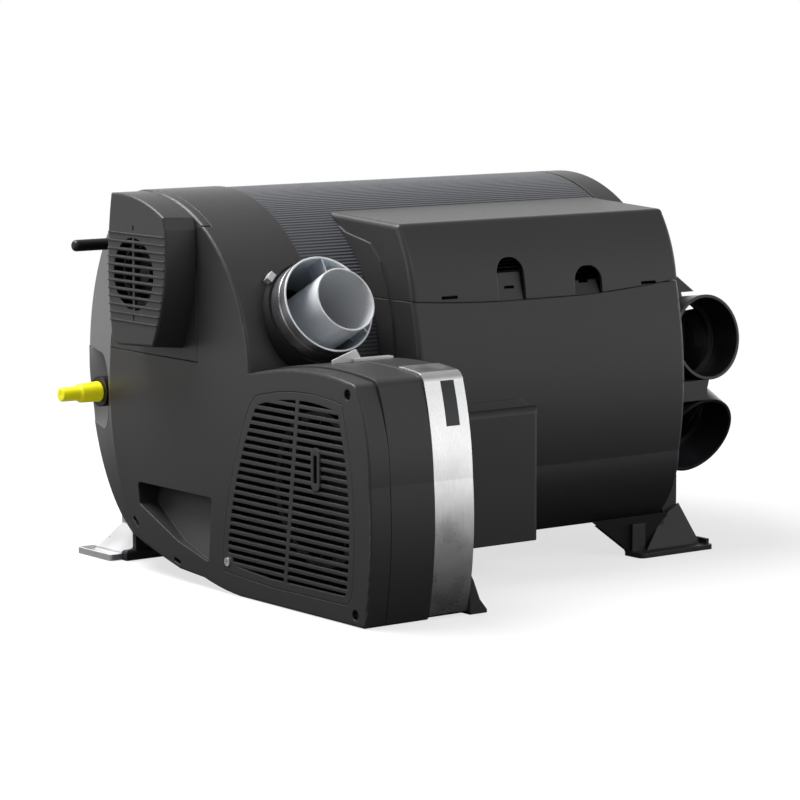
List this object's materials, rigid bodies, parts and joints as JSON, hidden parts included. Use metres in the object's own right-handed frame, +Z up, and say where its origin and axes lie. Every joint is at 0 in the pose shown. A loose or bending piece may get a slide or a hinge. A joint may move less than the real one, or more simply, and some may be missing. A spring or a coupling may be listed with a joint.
{
  "type": "caravan combi heater",
  "caption": "Horizontal drum gas heater for air and water, with side fan box, blower hood, twin-tube flue, control housing and round duct outlets.",
  "frame": {"origin": "centre of the bounding box in plan, on the floor that the feet stand on", "axes": "+X along the drum from the fan box and hood end to the duct outlets, +Y from the front, with the control housing, to the back, +Z up"},
  "size_m": [0.5126, 0.4742, 0.3079],
  "materials": {
    "moulding": "satin, fine grain",
    "strip_metal": "brushed upright",
    "window": "gloss",
    "jacket": "finely ribbed",
    "outlet_plastic": "satin",
    "flue_metal": "satin, bright rims",
    "seal_rubber": "matte",
    "bright_steel": "bright zinc",
    "black_steel": "black oxide",
    "yellow_plastic": "satin",
    "black_plastic": "satin",
    "pad_rubber": "matte",
    "board": "lacquered",
    "terminal": "satin",
    "relay": "gloss",
    "wheel_plastic": "satin",
    "motor_metal": "satin",
    "tank_steel": "bead blasted",
    "exchanger": "cast",
    "valve_brass": "machined"
  },
  "bodies": {
    "heater": {"end_cap": "moulding", "hood_cover": "moulding", "fan_box_shell": "moulding", "intake_grille": "moulding", "control_housing": "moulding", "cover_latches": "moulding", "outlet_cap": "moulding", "air_outlet_1": "outlet_plastic", "air_outlet_2": "outlet_plastic", "air_outlet_3": "outlet_plastic", "air_outlet_4": "outlet_plastic", "trim_strip": "strip_metal", "strip_window": "window", "jacket": "jacket", "flue_outer": "flue_metal", "flue_inner": "flue_metal", "flue_webs": "flue_metal", "flue_elbow": "flue_metal", "flue_seal": "seal_rubber", "flue_clip": "bright_steel", "flue_bracket": "bright_steel", "grille_screw": "bright_steel", "cap_screws": "black_steel", "water_connector": "black_plastic", "gas_pipe": "bright_steel", "fan_foot": "moulding", "end_foot_front": "moulding", "end_foot_rear": "moulding", "foot_pad": "pad_rubber", "cap_foot_rear": "black_plastic", "foot_bracket": "bright_steel", "circuit_board": "board", "board_posts": "black_plastic", "terminal_blocks": "terminal", "relays": "relay", "water_tank": "tank_steel", "bulkhead": "bright_steel", "heat_exchanger": "exchanger", "burner_tube": "tank_steel", "heating_rods": "tank_steel", "temperature_sensor": "valve_brass", "gas_valve": "valve_brass", "fan_motor": "motor_metal", "blower_motor": "motor_metal"},
    "fan_wheel": {"fan_wheel": "wheel_plastic"},
    "blower_wheel": {"blower_wheel": "wheel_plastic"},
    "service_cover": {"service_cover": "moulding"},
    "yellow_cap": {"yellow_cap": "yellow_plastic"},
    "black_cap": {"black_cap": "black_plastic"}
  },
  "joints": [
    {"name": "fan_spin", "type": "hinge", "parent": "heater", "child": "fan_wheel", "pos_m": [-0.1357, -0.13853, 0.09], "axis": [1, 0, 0], "continuous": true},
    {"name": "blower_spin", "type": "hinge", "parent": "heater", "child": "blower_wheel", "pos_m": [-0.2287, 0.03647, 0.244], "axis": [1, 0, 0], "continuous": true},
    {"name": "service_cover_lift", "type": "slide", "parent": "heater", "child": "service_cover", "axis": [0, 0, 1], "range_m": [0, 0.12]},
    {"name": "yellow_cap_pull", "type": "slide", "parent": "heater", "child": "yellow_cap", "axis": [-1, 0, 0], "range_m": [0, 0.06]},
    {"name": "black_cap_pull", "type": "slide", "parent": "heater", "child": "black_cap", "axis": [-1, 0, 0], "range_m": [0, 0.07]}
  ]
}
